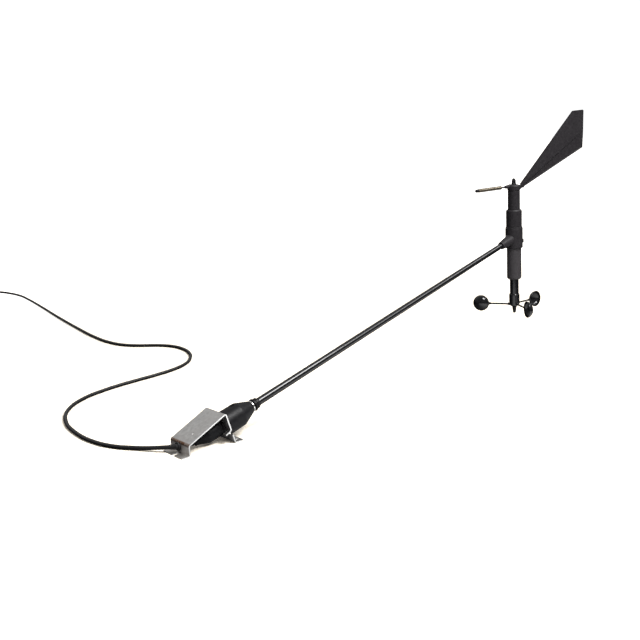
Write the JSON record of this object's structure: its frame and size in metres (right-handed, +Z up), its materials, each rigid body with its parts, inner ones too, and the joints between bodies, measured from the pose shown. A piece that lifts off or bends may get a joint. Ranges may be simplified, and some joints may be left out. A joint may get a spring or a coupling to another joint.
{
  "type": "masthead wind sensor",
  "caption": "Cup anemometer and wind vane on one upright head, at the end of a long arm that plugs into a folded steel bracket with a coiled mast cable.",
  "frame": {"origin": "midway across the underside of the bracket's front foot, 3.6 mm ahead of the leaning face", "axes": "+X along the arm's run away from the bracket, +Y across the bracket, +Z up and along the head's axis"},
  "size_m": [1.0749, 2.1145, 0.507],
  "materials": {
    "stainless": "brushed and slightly mottled folded sheet, bright cut edges",
    "bright_steel": "bright spring steel",
    "bearing_steel": "ground steel",
    "brass": "dull drawn brass rod",
    "gold_contact": "gold-plated contact",
    "charcoal_plastic": "fine matte moulded plastic, charcoal",
    "charcoal_light_plastic": "fine matte moulded plastic, a little lighter",
    "gloss_black": "glossy black",
    "satin_black": "satin black moulded plastic",
    "rubber": "soft black rubber",
    "cable_jacket": "satin dark grey cable jacket",
    "circuit_board": "green solder mask",
    "magnet": "sintered magnet, plated",
    "insulator": "moulded insulator"
  },
  "bodies": {
    "mount": {"bracket": "stainless", "socket_shell": "satin_black", "socket_gasket": "rubber", "socket_panel_nut": "satin_black", "socket_contact_insert": "insulator", "socket_tail_cover": "satin_black", "bracket_cable": "cable_jacket", "cable_strain_relief": "rubber", "mast_cable_run": "cable_jacket", "mast_cable_coil": "cable_jacket", "mast_cable_tail": "cable_jacket", "instrument_plug": "satin_black"},
    "arm": {"plug_shell": "satin_black", "plug_contact_insert": "insulator", "contact_pin_1": "gold_contact", "contact_pin_2": "gold_contact", "contact_pin_3": "gold_contact", "contact_pin_4": "gold_contact", "contact_pin_5": "gold_contact", "plug_o_ring": "rubber", "spar_tube": "gloss_black", "coupling_retaining_ring": "bright_steel", "spar_base_collar": "satin_black", "arm_cable": "cable_jacket", "head_collar": "charcoal_plastic", "collar_grub_screw": "bearing_steel", "upper_housing": "charcoal_plastic", "upper_sleeve": "charcoal_plastic", "vane_bearing_carrier": "satin_black", "vane_bearing_upper": "bearing_steel", "vane_bearing_lower": "bearing_steel", "direction_sensor_board": "circuit_board", "direction_sensor": "insulator", "lower_housing": "charcoal_light_plastic", "lower_tube": "gloss_black", "rotor_bearing_upper": "bearing_steel", "rotor_bearing_lower": "bearing_steel", "rotor_bearing_spacer": "satin_black", "shaft_seal": "rubber", "speed_sensor_board": "circuit_board", "speed_sensor": "insulator"},
    "coupling": {"coupling_ring": "satin_black"},
    "vane": {"vane_hub": "charcoal_plastic", "vane_cap_nut": "satin_black", "vane_blade": "charcoal_plastic", "vane_shaft": "bearing_steel", "direction_magnet": "magnet", "counterweight_spindle": "satin_black", "counterweight": "brass", "counterweight_end_nut": "satin_black"},
    "cup_rotor": {"rotor_shaft": "bearing_steel", "rotor_magnet": "magnet", "cup_hub": "gloss_black", "cup_hub_nut": "satin_black", "cup_arm_1": "satin_black", "cup_arm_2": "satin_black", "cup_arm_3": "satin_black", "cup_1": "gloss_black", "cup_2": "gloss_black", "cup_3": "gloss_black"}
  },
  "joints": [
    {"name": "arm_unplug", "type": "slide", "parent": "mount", "child": "arm", "axis": [0.9603, 0, 0.279], "range_m": [0, 0.045]},
    {"name": "coupling_turn", "type": "hinge", "parent": "arm", "child": "coupling", "pos_m": [-0.01105, 0, 0.02564], "axis": [0.9603, 0, 0.279], "range_deg": [0, 90]},
    {"name": "vane_turn", "type": "hinge", "parent": "arm", "child": "vane", "pos_m": [0.75431, 0, 0.248], "axis": [0, 0, 1], "continuous": true},
    {"name": "cup_spin", "type": "hinge", "parent": "arm", "child": "cup_rotor", "pos_m": [0.75431, 0, 0.248], "axis": [0, 0, 1], "continuous": true}
  ]
}
